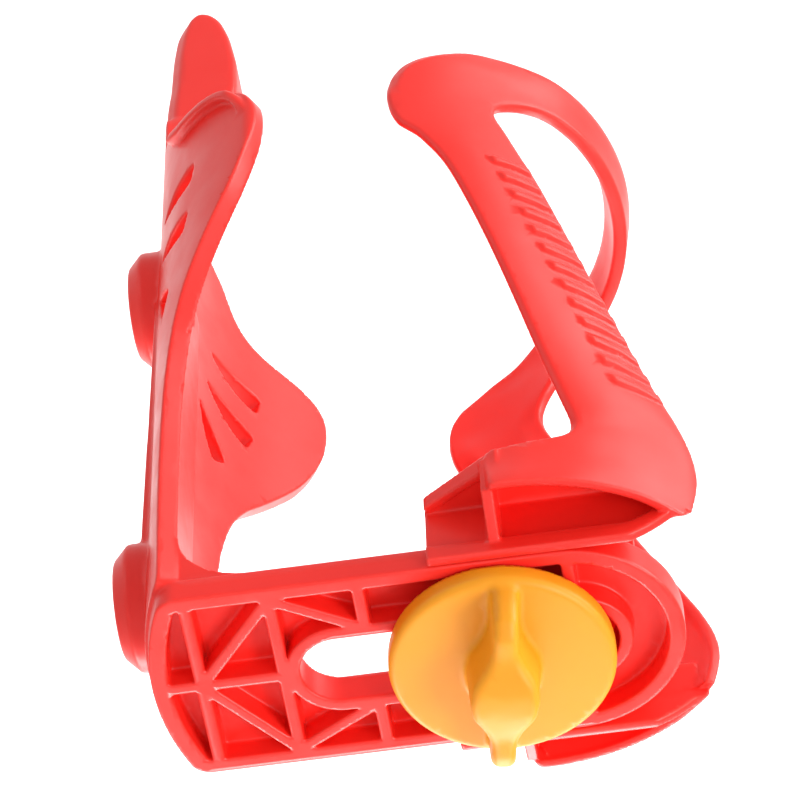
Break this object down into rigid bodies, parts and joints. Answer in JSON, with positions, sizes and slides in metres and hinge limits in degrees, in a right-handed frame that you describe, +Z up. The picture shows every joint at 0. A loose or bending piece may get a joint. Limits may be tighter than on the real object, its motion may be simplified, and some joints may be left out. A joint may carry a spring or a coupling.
{
  "type": "water bottle cage",
  "caption": "Adjustable plastic bottle cage for a bicycle: a bolt-on rear cage, a front cage that slides along its base rail, and a thumb knob that clamps them.",
  "frame": {"origin": "centre of the lower frame bolt, in the plane that the cage is bolted against", "axes": "+X away from the bicycle's tube, +Z up along the bottle's axis, +Y to the left seen from the bottle towards +X"},
  "size_m": [0.076, 0.0634, 0.1598],
  "materials": {
    "cage_plastic": "semi-gloss moulded nylon",
    "knob_plastic": "satin moulded nylon",
    "steel": "zinc plated"
  },
  "bodies": {
    "rear": {"rear_cage": "cage_plastic"},
    "front": {"front_cage": "cage_plastic", "nut": "steel"},
    "clamp": {"washer": "steel"},
    "knob": {"knob": "knob_plastic", "stud": "steel"}
  },
  "joints": [
    {"name": "front_slide", "type": "slide", "parent": "rear", "child": "front", "axis": [1, 0, 0], "range_m": [-0.021, 0.008]},
    {"name": "clamp_drop", "type": "slide", "parent": "front", "child": "clamp", "axis": [0, 0, -1], "range_m": [0, 0.0025]},
    {"name": "knob_turn", "type": "hinge", "parent": "clamp", "child": "knob", "pos_m": [0.049, 0, -0.018], "axis": [0, 0, -1], "range_deg": [0, 1080]}
  ],
  "couplings": [
    {"joint": "clamp_drop", "follows": "knob_turn", "m_per_rad": 0.00012732}
  ]
}
